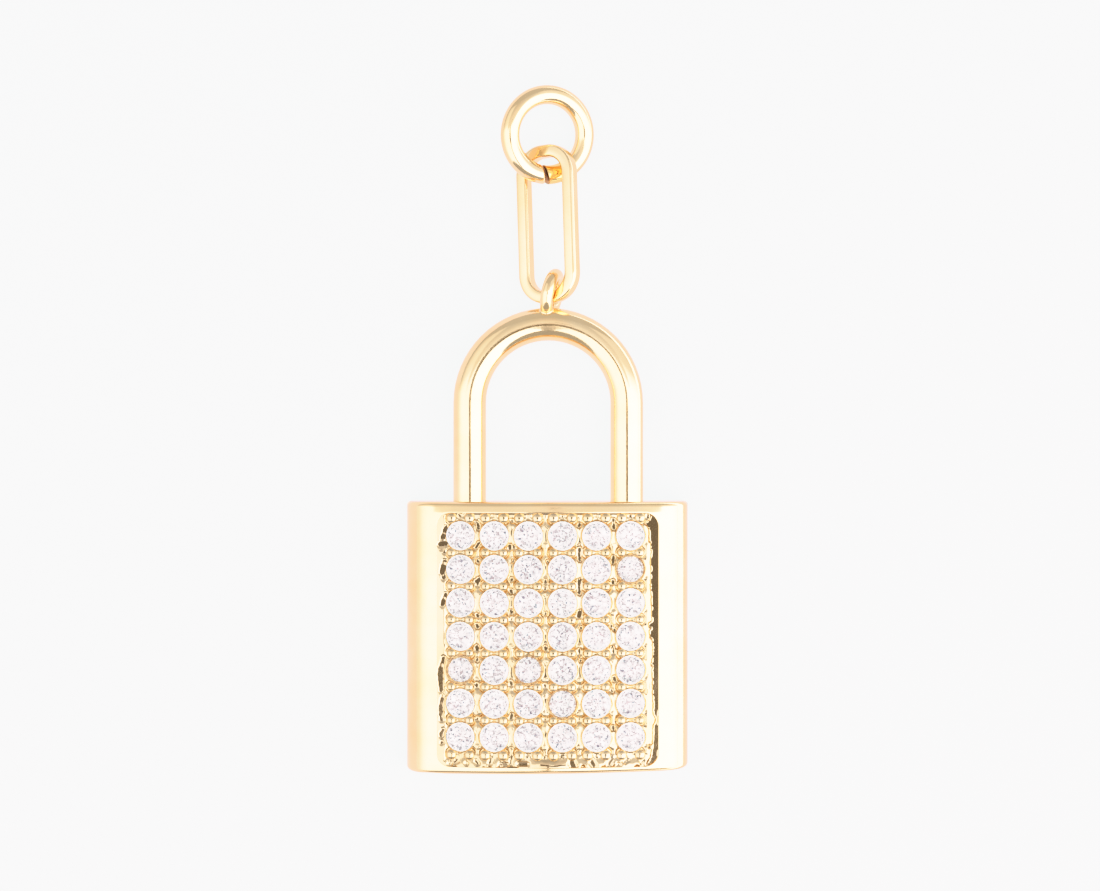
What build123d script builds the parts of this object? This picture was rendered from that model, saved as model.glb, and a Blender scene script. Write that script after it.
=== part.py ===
from build123d import *
import os
from math import asin, cos, degrees, radians, sin, sqrt

# Padlock-shaped pendant lying on its back. +Z is up, the stones face +Z, the
# hanging ring is towards +Y, and the back rests on z = 0. Millimetres.

# ---- lock body: a cushion-sided casting --------------------------------------
BODY_W = 18.84            # side to side
BODY_TOP = -4.89          # y of the flat top face, where the shackle enters
BODY_BOTTOM_LEFT = -22.907  # the bottom edge runs very slightly uphill
BODY_BOTTOM_RIGHT = -22.70
BODY_CROWN = 4.40         # thickness at the middle of the front
FRONT_R = 33.0            # radius of the crowned front, about an axis along Y
SIDE_R = 2.5              # the front's long edges roll over with this radius
BACK_R = 0.50             # softening of the back's long edges
END_R = 0.33              # softening round the top and bottom faces

# ---- recess for the paved plate ----------------------------------------------
FIELD_W, FIELD_H = 14.72, 16.81
FIELD_X, FIELD_Y = 0.01, -13.98
FIELD_CORNER = 0.95
FIELD_FLOOR = 3.20        # height of the flat recess floor
FIT_GAP = 0.02            # gap left round pieces that sit in one another

# ---- paved plate: 6 columns by 7 rows of 2 mm round stones ---------------------
COLUMNS, ROWS = 6, 7
PITCH_X, PITCH_Y = 2.246, 2.211
STONES_X, STONES_Y = -0.125, -13.756
STONE_R = 1.00            # girdle
TABLE_R = 0.56            # flat top of each stone
STONE_SINK = 0.12         # girdle below the metal's surface
STONE_RISE = 0.18         # table above it
PLATE_DROP = 0.06         # the plate's metal sits this far under the rim

# ---- shackle and the small loop soldered to it ---------------------------------
SHACKLE_TUBE = 2.20       # rod diameter
SHACKLE_R = 5.245         # centre-line radius of the arch
SHACKLE_X, SHACKLE_Y = 0.059, 1.685   # centre of the arch
SHACKLE_Z = 1.90
SEAT_DEPTH = 2.30         # drilled seats in the top face
LEG_IN = 2.24             # length of leg inside its seat
LOOP_OD, LOOP_WIRE = 3.40, 0.84
LOOP_X, LOOP_Y = 0.324, 8.972
LOOP_LEAN = -12.0         # seen from the front, its top leans to the right
LOOP_TURN = -14.0         # and it is turned a little off edge-on
SOLDER_R = 0.10           # fillet of solder round the loop's foot

# ---- oval link -----------------------------------------------------------------
LINK_L, LINK_W = 10.65, 4.47
LINK_CORNER = 2.0         # outer corner radius
LINK_WIRE_W, LINK_WIRE_D = 0.84, 0.90
LINK_EDGE = 0.17          # softened corners of the wire's section
LINK_AT = (0.038, 13.631, 1.745)
LINK_ROLL, LINK_PITCH, LINK_LEAN = -33.0, -3.0, 1.74

# ---- open jump ring ------------------------------------------------------------
RING_R, RING_WIRE = 2.66, 1.28
RING_AT = (0.01, 19.62, 1.645)
RING_ROLL, RING_PITCH = 20.5, 7.0
RING_GAP = 0.15           # the wire's two ends stand this far apart


def turned(at, roll, pitch, lean):
    """A plane at `at`, rolled about Y, then pitched about X, then leaned about Z."""
    def turn(v):
        return v.rotate(Axis.Y, roll).rotate(Axis.X, pitch).rotate(Axis.Z, lean)
    return Plane(origin=at, x_dir=turn(Vector(1, 0, 0)), z_dir=turn(Vector(0, 0, 1)))


def front_z(x, drop=0.0):
    """Height of the crowned front, or of a surface `drop` inside it, at x."""
    r = FRONT_R - drop
    return BODY_CROWN - FRONT_R + sqrt(r * r - x * x)


# ---- lock body -----------------------------------------------------------------
half = BODY_W / 2
crown_centre = BODY_CROWN - FRONT_R
side_x = half - SIDE_R
side_z = crown_centre + sqrt((FRONT_R - SIDE_R) ** 2 - side_x ** 2)
meet_angle = asin(side_x / (FRONT_R - SIDE_R))       # from vertical, where the arcs meet
meet = (FRONT_R * sin(meet_angle), crown_centre + FRONT_R * cos(meet_angle))
roll_mid = radians(45) + meet_angle / 2
roll = (side_x + SIDE_R * sin(roll_mid), side_z + SIDE_R * cos(roll_mid))
soft = BACK_R * (1 - cos(radians(45)))

with BuildPart() as body:
    with BuildSketch(Plane.XZ.offset(-BODY_TOP)):
        with BuildLine():
            Line((-half + BACK_R, 0), (half - BACK_R, 0))
            ThreePointArc((half - BACK_R, 0), (half - soft, soft), (half, BACK_R))
            Line((half, BACK_R), (half, side_z))
            ThreePointArc((half, side_z), roll, meet)
            ThreePointArc(meet, (0, BODY_CROWN), (-meet[0], meet[1]))
            ThreePointArc((-meet[0], meet[1]), (-roll[0], roll[1]), (-half, side_z))
            Line((-half, side_z), (-half, BACK_R))
            ThreePointArc((-half, BACK_R), (-half + soft, soft), (-half + BACK_R, 0))
        make_face()
    extrude(amount=BODY_TOP - BODY_BOTTOM_LEFT + 1.0)
    slope = degrees(asin((BODY_BOTTOM_RIGHT - BODY_BOTTOM_LEFT) / BODY_W))
    split(bisect_by=Plane(origin=(0, (BODY_BOTTOM_LEFT + BODY_BOTTOM_RIGHT) / 2, 0),
                          z_dir=Vector(0, 1, 0).rotate(Axis.Z, slope)), keep=Keep.TOP)
    ends = body.faces().sort_by(Axis.Y)
    fillet(ends[0].edges() + ends[-1].edges(), radius=END_R)
    # seats for the shackle's legs
    with BuildSketch(Plane(origin=(SHACKLE_X, BODY_TOP, SHACKLE_Z), x_dir=(1, 0, 0), z_dir=(0, 1, 0))):
        with Locations((-SHACKLE_R, 0), (SHACKLE_R, 0)):
            Circle(SHACKLE_TUBE / 2 + FIT_GAP)
    extrude(amount=-SEAT_DEPTH, mode=Mode.SUBTRACT)
    # recess for the paved plate
    with BuildSketch(Plane.XY.offset(FIELD_FLOOR)):
        with Locations((FIELD_X, FIELD_Y)):
            RectangleRounded(FIELD_W, FIELD_H, FIELD_CORNER)
    extrude(amount=3.0, mode=Mode.SUBTRACT)

# ---- paved plate ---------------------------------------------------------------
with BuildPart() as plate:
    with BuildSketch(Plane.XY.offset(FIELD_FLOOR + FIT_GAP)):
        with Locations((FIELD_X, FIELD_Y)):
            RectangleRounded(FIELD_W - 2 * FIT_GAP, FIELD_H - 2 * FIT_GAP, FIELD_CORNER - FIT_GAP)
    extrude(amount=3.0)
    # the crowned top: keep what lies inside a cylinder along Y
    with BuildSketch(Plane.XZ.offset(-BODY_TOP)):
        with Locations((0, crown_centre)):
            Circle(FRONT_R - PLATE_DROP)
    extrude(amount=BODY_TOP - BODY_BOTTOM_LEFT + 2.0, mode=Mode.INTERSECT)
    # the stones' crowns, each square to the curve beneath it
    for column in range(COLUMNS):
        x = STONES_X + (column - (COLUMNS - 1) / 2) * PITCH_X
        tilt = degrees(asin(x / FRONT_R))
        base = FRONT_R - PLATE_DROP - STONE_SINK
        seat = [
            Location((base * sin(radians(tilt)),
                      STONES_Y - (row - (ROWS - 1) / 2) * PITCH_Y,
                      crown_centre + base * cos(radians(tilt))), (0, tilt, 0))
            for row in range(ROWS)
        ]
        with Locations(*seat):
            Cone(STONE_R, TABLE_R, STONE_SINK + STONE_RISE,
                 align=(Align.CENTER, Align.CENTER, Align.MIN))

# ---- shackle with its soldered loop --------------------------------------------
leg_end = BODY_TOP - LEG_IN
with BuildPart() as shackle:
    with BuildLine(Plane.XY.offset(SHACKLE_Z)) as bow:
        Line((SHACKLE_X - SHACKLE_R, leg_end), (SHACKLE_X - SHACKLE_R, SHACKLE_Y))
        ThreePointArc((SHACKLE_X - SHACKLE_R, SHACKLE_Y), (SHACKLE_X, SHACKLE_Y + SHACKLE_R),
                      (SHACKLE_X + SHACKLE_R, SHACKLE_Y))
        Line((SHACKLE_X + SHACKLE_R, SHACKLE_Y), (SHACKLE_X + SHACKLE_R, leg_end))
    with BuildSketch(Plane(origin=(SHACKLE_X - SHACKLE_R, leg_end, SHACKLE_Z),
                           x_dir=(1, 0, 0), z_dir=(0, 1, 0))):
        Circle(SHACKLE_TUBE / 2)
    sweep(path=bow.line)
    loop_plane = turned((LOOP_X, LOOP_Y, SHACKLE_Z), 90 + LOOP_TURN, 0, LOOP_LEAN)
    with Locations(loop_plane.location):
        Torus((LOOP_OD - LOOP_WIRE) / 2, LOOP_WIRE / 2)
    fillet(shackle.edges(Select.NEW), radius=SOLDER_R)

# ---- oval link -----------------------------------------------------------------
with BuildPart() as link:
    with BuildSketch(turned(LINK_AT, LINK_ROLL, LINK_PITCH, LINK_LEAN)):
        RectangleRounded(LINK_W, LINK_L, LINK_CORNER)
        RectangleRounded(LINK_W - 2 * LINK_WIRE_W, LINK_L - 2 * LINK_WIRE_W,
                         LINK_CORNER - LINK_WIRE_W, mode=Mode.SUBTRACT)
    extrude(amount=LINK_WIRE_D / 2, both=True)
    fillet(link.edges(), radius=LINK_EDGE)

# ---- open jump ring ------------------------------------------------------------
ring_plane = turned(RING_AT, RING_ROLL, RING_PITCH, 0)
gap_angle = degrees(RING_GAP / RING_R)
with BuildPart() as ring:
    # the wire's section stands at the bottom of the ring, beside the gap
    start = Plane(origin=ring_plane.origin,
                  x_dir=ring_plane.x_dir.rotate(Axis(ring_plane.origin, ring_plane.z_dir), -90 + gap_angle / 2),
                  z_dir=ring_plane.z_dir)
    with BuildSketch(Plane(origin=start.origin, x_dir=start.x_dir, z_dir=-start.y_dir)):
        with Locations((RING_R, 0)):
            Circle(RING_WIRE / 2)
    revolve(axis=Axis(ring_plane.origin, ring_plane.z_dir), revolution_arc=360 - gap_angle)

body.part.label = "lock_body"
plate.part.label = "pave_plate"
shackle.part.label = "shackle"
link.part.label = "oval_link"
ring.part.label = "top_ring"

os.makedirs("parts", exist_ok=True)
export_step(body.part, "parts/lock_body.step")
export_step(plate.part, "parts/pave_plate.step")
export_step(shackle.part, "parts/shackle.step")
export_step(link.part, "parts/oval_link.step")
export_step(ring.part, "parts/top_ring.step")

for piece in (body, plate, shackle, link, ring):
    box = piece.part.bounding_box()
    print(piece.part.label, round(piece.part.volume, 2), [round(v, 3) for v in (*box.min, *box.max)])
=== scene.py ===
from math import asin, atan, atan2, ceil, cos, degrees, exp, floor, hypot, pi, radians, sin, sqrt, tan

import bmesh
import bpy
import numpy as np
from mathutils import Matrix, Vector


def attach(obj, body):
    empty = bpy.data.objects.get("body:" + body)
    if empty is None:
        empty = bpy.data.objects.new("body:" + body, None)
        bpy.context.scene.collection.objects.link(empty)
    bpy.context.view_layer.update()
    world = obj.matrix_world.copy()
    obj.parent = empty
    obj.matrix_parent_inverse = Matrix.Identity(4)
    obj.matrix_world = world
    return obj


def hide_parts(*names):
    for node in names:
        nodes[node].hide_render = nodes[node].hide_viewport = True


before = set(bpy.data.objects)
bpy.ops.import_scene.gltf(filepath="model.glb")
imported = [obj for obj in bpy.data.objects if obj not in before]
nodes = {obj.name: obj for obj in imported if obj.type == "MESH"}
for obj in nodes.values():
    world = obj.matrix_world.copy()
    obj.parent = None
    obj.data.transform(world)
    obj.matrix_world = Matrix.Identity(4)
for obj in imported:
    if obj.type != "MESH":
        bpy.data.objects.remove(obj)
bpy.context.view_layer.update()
MM = 0.001


# ---------------------------------------------------------------- camera
cam_data = bpy.data.cameras.new("camera")
cam_data.lens = 73.64
cam_data.sensor_width = 36.0
cam_data.clip_start, cam_data.clip_end = 0.005, 20.0
cam = bpy.data.objects.new("camera", cam_data)
cam.location = (0.176 * MM, -1.169 * MM, 152.2 * MM)
bpy.context.scene.collection.objects.link(cam)
bpy.context.scene.camera = cam


# ---------------------------------------------------------------- small helpers
def add_mesh(name, verts, faces, smooth=True):
    me = bpy.data.meshes.new(name)
    me.from_pydata([tuple(v) for v in verts], [], faces)
    me.update()
    if smooth:
        me.polygons.foreach_set("use_smooth", [True] * len(me.polygons))
    ob = bpy.data.objects.new(name, me)
    bpy.context.scene.collection.objects.link(ob)
    return ob


class Tree:
    """A thin hand for writing node trees."""
    def __init__(self, name):
        self.mat = bpy.data.materials.new(name)
        self.mat.use_nodes = True
        self.nt = self.mat.node_tree
        self.nt.nodes.clear()
        self.out = self.nt.nodes.new("ShaderNodeOutputMaterial")

    def node(self, kind, **props):
        n = self.nt.nodes.new(kind)
        for k, v in props.items():
            setattr(n, k, v)
        return n

    def link(self, a, b):
        self.nt.links.new(a, b)

    def noise(self, coords, scale, detail=2.0, rough=0.5, distort=0.0):
        n = self.node("ShaderNodeTexNoise")
        n.inputs["Scale"].default_value = scale
        n.inputs["Detail"].default_value = detail
        n.inputs["Roughness"].default_value = rough
        n.inputs["Distortion"].default_value = distort
        self.link(coords, n.inputs["Vector"])
        return n.outputs["Fac"]

    def remap(self, value, a, b, lo=0.0, hi=1.0):
        n = self.node("ShaderNodeMapRange")
        n.inputs["From Min"].default_value = a
        n.inputs["From Max"].default_value = b
        n.inputs["To Min"].default_value = lo
        n.inputs["To Max"].default_value = hi
        self.link(value, n.inputs["Value"])
        return n.outputs["Result"]

    def mix_colour(self, fac, a, b):
        n = self.node("ShaderNodeMix", data_type="RGBA")
        self.link(fac, n.inputs[0])
        n.inputs[6].default_value = (*a, 1)
        n.inputs[7].default_value = (*b, 1)
        return n.outputs[2]

    def bump(self, height, distance, strength=1.0, normal=None):
        n = self.node("ShaderNodeBump")
        n.inputs["Strength"].default_value = strength
        n.inputs["Distance"].default_value = distance
        self.link(height, n.inputs["Height"])
        if normal is not None:
            self.link(normal, n.inputs["Normal"])
        return n.outputs["Normal"]


def gold_material(name, pale=(1.0, 0.77, 0.48), deep=(0.985, 0.72, 0.41), rough=(0.06, 0.12), wave=0.0016, seed=0.0):
    t = Tree(name)
    co = t.node("ShaderNodeTexCoord").outputs["Object"]
    m = t.node("ShaderNodeMapping")
    m.inputs["Location"].default_value = (seed * 0.01, seed * 0.007, -seed * 0.004)
    t.link(co, m.inputs["Vector"])
    co = m.outputs["Vector"]
    bs = t.node("ShaderNodeBsdfPrincipled")
    bs.inputs["Metallic"].default_value = 1.0
    t.link(t.mix_colour(t.remap(t.noise(co, 420, 3), 0.35, 0.68), pale, deep), bs.inputs["Base Color"])
    t.link(t.remap(t.noise(co, 2600, 4, 0.6), 0.3, 0.75, *rough), bs.inputs["Roughness"])
    n1 = t.bump(t.noise(co, 330, 2, 0.4), wave * MM * 10)
    n2 = t.bump(t.noise(co, 5200, 3, 0.6), 0.0012 * MM, normal=n1)
    t.link(n2, bs.inputs["Normal"])
    t.link(bs.outputs[0], t.out.inputs["Surface"])
    return t.mat


# ---------------------------------------------------------------- studio: pale table inside a light tent
def emitter(name, verts, faces, glow):
    ob = add_mesh(name, verts, faces, smooth=False)
    a = ob.data.color_attributes.new("glow", "FLOAT_COLOR", "POINT")
    for i, g in enumerate(glow):
        a.data[i].color = (*g, 1.0)
    t = Tree(name)
    at = t.node("ShaderNodeAttribute", attribute_name="glow")
    em = t.node("ShaderNodeEmission")
    t.link(at.outputs["Color"], em.inputs["Color"])
    t.link(em.outputs[0], t.out.inputs["Surface"])
    t.mat.cycles.emission_sampling = "NONE"
    ob.data.materials.append(t.mat)
    ob.visible_camera = False
    ob.visible_shadow = False
    return ob


def ramp(x, table):
    if x <= table[0][0]:
        return table[0][1]
    for (a, u), (b, v) in zip(table, table[1:]):
        if x <= b:
            return u + (v - u) * (x - a) / (b - a)
    return table[-1][1]


TENT = 0.22


def soft(a, b, x):
    t = min(max((x - a) / (b - a), 0.0), 1.0)
    return t * t * (3 - 2 * t)


def tent_wall(name, side, table, tint, fade, cap):
    """One curved side of the tent: brightness by angle from overhead, faded along y."""
    verts, faces, glow = [], [], []
    angles, ys = np.linspace(5.0, 89.0, 57), np.linspace(-0.22, 0.22, 111)
    for a in angles:
        for y in ys:
            verts.append((side * TENT * sin(radians(a)), y, TENT * cos(radians(a))))
            k, mm = ramp(a, table), y / MM
            k *= ramp(mm, fade)
            w = soft(20, 32, mm) * soft(36, 25, a)
            k = k * (1 - w) + ramp(mm, cap) * w
            if side > 0:          # a small dark flag beside the roof's opening
                w = soft(10.6, 8.0, a) * soft(-42, -36, mm) * soft(9, 3, mm)
                k = k * (1 - w) + 0.22 * w
            glow.append(tuple(k * c for c in tint))
    n = len(ys)
    for i in range(len(angles) - 1):
        for j in range(n - 1):
            faces.append((i * n + j, (i + 1) * n + j, (i + 1) * n + j + 1, i * n + j + 1))
    return emitter(name, verts, faces, glow)


CAP = [(20, 0.97), (60, 0.95), (110, 0.78), (220, 0.64)]
tent_wall("tent_left", -1, [(5, 2.0), (50, 2.0), (66, 1.7), (78, 1.25), (89, 1.05)],
          (1.0, 0.99, 0.965), [(-220, 1.0), (34, 1.0), (64, 0.62), (220, 0.47)], CAP)
tent_wall("tent_right", 1, [(5, 2.6), (30, 2.9), (70, 2.9), (89, 2.4)],
          (1.0, 1.0, 1.0), [(-220, 1.0), (20, 1.0), (80, 0.36), (220, 0.32)], CAP)
for name, y, k in (("tent_back", 0.22, 0.62), ("tent_front", -0.22, 0.46)):
    emitter(name, [(-0.23, y, 0), (0.23, y, 0), (0.23, y, 0.23), (-0.23, y, 0.23)], [(0, 1, 2, 3)],
            [(k, k * 0.985, k * 0.96)] * 4)


def roof(name, x0, x1, y0, y1, nx, ny, shade, tint=(1.03, 0.97, 0.94)):
    xs, ys = np.linspace(x0, x1, nx), np.linspace(y0, y1, ny)
    verts = [(x * MM, y * MM, 0.2205) for x in xs for y in ys]
    faces = [(i * ny + j, (i + 1) * ny + j, (i + 1) * ny + j + 1, i * ny + j + 1) for i in range(nx - 1) for j in range(ny - 1)]
    warm = lambda k: (1.08 * k, 0.93 * k, 0.76 * k) if k < 0.3 else tuple(k * c for c in tint)
    return emitter(name, verts, faces, [warm(shade(x, y)) for x in xs for y in ys])


def roof_shade(x, y):
    """Dark straight above the padlock, bright just past it, softer towards both ends."""
    lift = 12 * (1 - soft(1.0, 2.4, abs(x)))
    if y <= -lift:
        k = ramp(-y, [(0, 0.225), (62, 0.225), (74, 0.66), (100, 0.58), (220, 0.46)])
        return k + (1.7 - k) * soft(6.0, 9.0, abs(x)) * soft(-36, -44, y) * soft(-80, -66, y)
    edge = 8 + 13 * soft(-2.2, -4.2, x) - lift
    bright = ramp(y, [(14, 1.05), (30, 1.02), (60, 0.98), (90, 0.91), (130, 0.76), (220, 0.64)])
    k = 0.225 + (bright - 0.225) * ramp(y - edge, [(0, 0), (5, 1)])
    spot = hypot((x - 8.0) / 5.0, (y - 49) / 5.0)
    return k if spot > 1.2 else 0.225 + (k - 0.225) * soft(0.85, 1.2, spot)


roof("tent_roof", -22, 22, -220, 220, 45, 221, roof_shade)


def sheen(name, x0, x1, glow):
    """What the polished edges see of the table: a little warmer and darker near the charm."""
    ob = emitter(name, [(x0, -0.2, 0.00002), (x1, -0.2, 0.00002), (x1, 0.2, 0.00002), (x0, 0.2, 0.00002)], [(0, 1, 2, 3)], [glow] * 4)
    ob.visible_diffuse = False
    ob.visible_transmission = False


sheen("table_sheen", -0.215, 0.0136, (1.16, 0.99, 1.02))
sheen("table_sheen_right", 0.0136, 0.215, (2.6, 2.6, 2.55))

table = add_mesh("table_top", [(-2, -2, -0.00002), (2, -2, -0.00002), (2, 2, -0.00002), (-2, 2, -0.00002)], [(0, 1, 2, 3)])
t = Tree("table_top")
bs = t.node("ShaderNodeBsdfPrincipled")
bs.inputs["Base Color"].default_value = (0.16, 0.16, 0.163, 1)
bs.inputs["Roughness"].default_value = 0.8
bs.inputs["Specular IOR Level"].default_value = 0.0
bs.inputs["Emission Color"].default_value = (0.735, 1.0, 1.005, 1)
bs.inputs["Emission Strength"].default_value = 1.12
t.link(bs.outputs[0], t.out.inputs["Surface"])
t.mat.cycles.emission_sampling = "NONE"
table.data.materials.append(t.mat)

world = bpy.data.worlds.new("world")
bpy.context.scene.world = world
world.use_nodes = True
world.node_tree.nodes["Background"].inputs["Color"].default_value = (1.09, 1.42, 1.43, 1)
world.node_tree.nodes["Background"].inputs["Strength"].default_value = 1.0
world.cycles.sampling_method = "NONE"
view = bpy.context.scene.view_settings
view.view_transform = "Standard"
# a soft shoulder, as a camera's tone curve has: highlights turn cream before they clip
view.use_curve_mapping = True
curves = view.curve_mapping
WHITE = 4.0
curves.white_level = (WHITE, WHITE, WHITE)
for channel, knee in ((0, 0.80), (1, 0.62), (2, 0.62)):
    curve = curves.curves[channel]
    pts = [(0.0, 0.0)] + [(x / WHITE, x if x <= knee else knee + (1 - knee) * (1 - exp(-(x - knee) / (1 - knee))))
                          for x in (0.15, 0.3, 0.45, 0.62, 0.72, 0.8, 0.9, 1.0, 1.1, 1.25, 1.4, 1.7, 2.1, 2.8, 4.0)]
    curve.points[0].location = pts[0]
    curve.points[-1].location = pts[-1]
    for q in pts[1:-1]:
        curve.points.new(*q)
curves.update()

# ---------------------------------------------------------------- sizes shared with the CAD model (mm)
CROWN, FRONT_R, SIDE_R, BACK_R, END_R = 4.40, 33.0, 2.5, 0.50, 0.33
HALF_W, BODY_TOP, BODY_LOW_L, BODY_LOW_R = 9.42, -4.89, -22.907, -22.70
FIELD_X, FIELD_Y, FIELD_W, FIELD_H, FIELD_CORNER = 0.01, -13.98, 14.72, 16.81, 0.95
FLOOR_Z, GAP, PLATE_DROP = 3.20, 0.02, 0.06
COLS, ROWS, PX, PY = 6, 7, 2.246, 2.211
STONE_R = 0.955        # what shows of a 2 mm stone inside its collar
STONES_X, STONES_Y = -0.125, -13.756
X0, Y0 = STONES_X - (COLS - 1) / 2 * PX, STONES_Y - (ROWS - 1) / 2 * PY


def front_z(x, drop=0.0):
    return CROWN - FRONT_R + np.sqrt((FRONT_R - drop) ** 2 - np.square(x))


def step(a, b, x):
    t = np.clip((x - a) / (b - a), 0.0, 1.0)
    return t * t * (3 - 2 * t)


class Ripple:
    """Smooth random height field over a plane, the same every run."""
    def __init__(self, seed, size=64):
        self.g = np.random.RandomState(seed).uniform(-1, 1, (size, size))
        self.n = size

    def __call__(self, x, y):
        x, y = np.asarray(x, float), np.asarray(y, float)
        i, j = np.floor(x).astype(int), np.floor(y).astype(int)
        u, v = x - i, y - j
        u, v = u * u * (3 - 2 * u), v * v * (3 - 2 * v)
        g, n = self.g, self.n
        a, b = g[i % n, j % n], g[(i + 1) % n, j % n]
        c, d = g[i % n, (j + 1) % n], g[(i + 1) % n, (j + 1) % n]
        return (a * (1 - u) + b * u) * (1 - v) + (c * (1 - u) + d * u) * v


def picture_xy(x, y, z):
    """Where a point of the charm falls in the 1100 x 891 picture."""
    s = 2250.0 / (152.2 - z)
    return 550 + (x - 0.176) * s, 445.5 - (y + 1.169) * s


def rounded_rect(cx, cy, w, h, r, side=40, corner=16):
    """Anticlockwise outline starting at the left end of the bottom side."""
    pts = []
    for k, (sx, sy) in enumerate(((1, -1), (1, 1), (-1, 1), (-1, -1))):
        a0 = -90 + 90 * k
        ax, ay = cx + sx * (w / 2 - r), cy + sy * (h / 2 - r)
        # the straight run that leads to this corner
        px, py = ((-1, -1), (1, -1), (1, 1), (-1, 1))[k]
        bx, by = cx + px * (w / 2 - r), cy + py * (h / 2 - r)
        nx, ny = cos(radians(a0)), sin(radians(a0))
        for i in range(side):
            t = i / side
            pts.append((bx + (ax - bx) * t + nx * r, by + (ay - by) * t + ny * r))
        for i in range(corner):
            a = radians(a0 + 90 * i / corner)
            pts.append((ax + r * cos(a), ay + r * sin(a)))
    return np.array(pts)


# ---------------------------------------------------------------- the padlock's casting
SIDE_X = HALF_W - SIDE_R
SIDE_Z = CROWN - FRONT_R + sqrt((FRONT_R - SIDE_R) ** 2 - SIDE_X ** 2)
MEET = SIDE_X / (FRONT_R - SIDE_R)
swell, swell2 = Ripple(31), Ripple(32)


def body_low(x):
    return BODY_LOW_L + (BODY_LOW_R - BODY_LOW_L) * (x + HALF_W) / (2 * HALF_W)


def body_front(x, y):
    """Height of the casting's front: crown, rolled sides, softened ends, slightly polished-down edges."""
    et, eb = BODY_TOP - y, y - body_low(x)
    e = np.clip(np.minimum(et, eb), 0, None)
    inset = END_R - np.sqrt(np.maximum(END_R ** 2 - np.square(np.maximum(END_R - e, 0)), 0))
    ax = np.minimum(np.abs(x), HALF_W - inset)
    r = FRONT_R - inset
    crown = CROWN - FRONT_R + np.sqrt(r * r - np.square(np.minimum(ax, r * MEET)))
    roll = SIDE_Z + np.sqrt(np.maximum(np.square(SIDE_R - inset) - np.square(np.maximum(ax - SIDE_X, 0)), 0))
    z = np.where(ax <= r * MEET, crown, roll)
    middle = step(9.0, 6.7, ax)
    z = z - tan(radians(9.2)) * np.maximum(0.72 - et, 0) * middle * (1 + 0.10 * swell(x * 0.5, y))
    z = z - tan(radians(7.0)) * np.maximum(0.24 - eb, 0) * (0.3 + 0.7 * middle) * (1 + 0.15 * swell2(x * 0.6, y))
    z = z + 0.045 * np.maximum(1 - np.abs(x - 0.05) / 1.6, 0) * step(1.0, 0.8, eb) * step(0.0, 0.2, eb)
    quiet = step(0.0, 0.5, np.minimum(e, HALF_W - np.abs(x)))
    return z - 0.004 * (1 + swell(x * 0.3, y * 0.28)) * quiet


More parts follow.
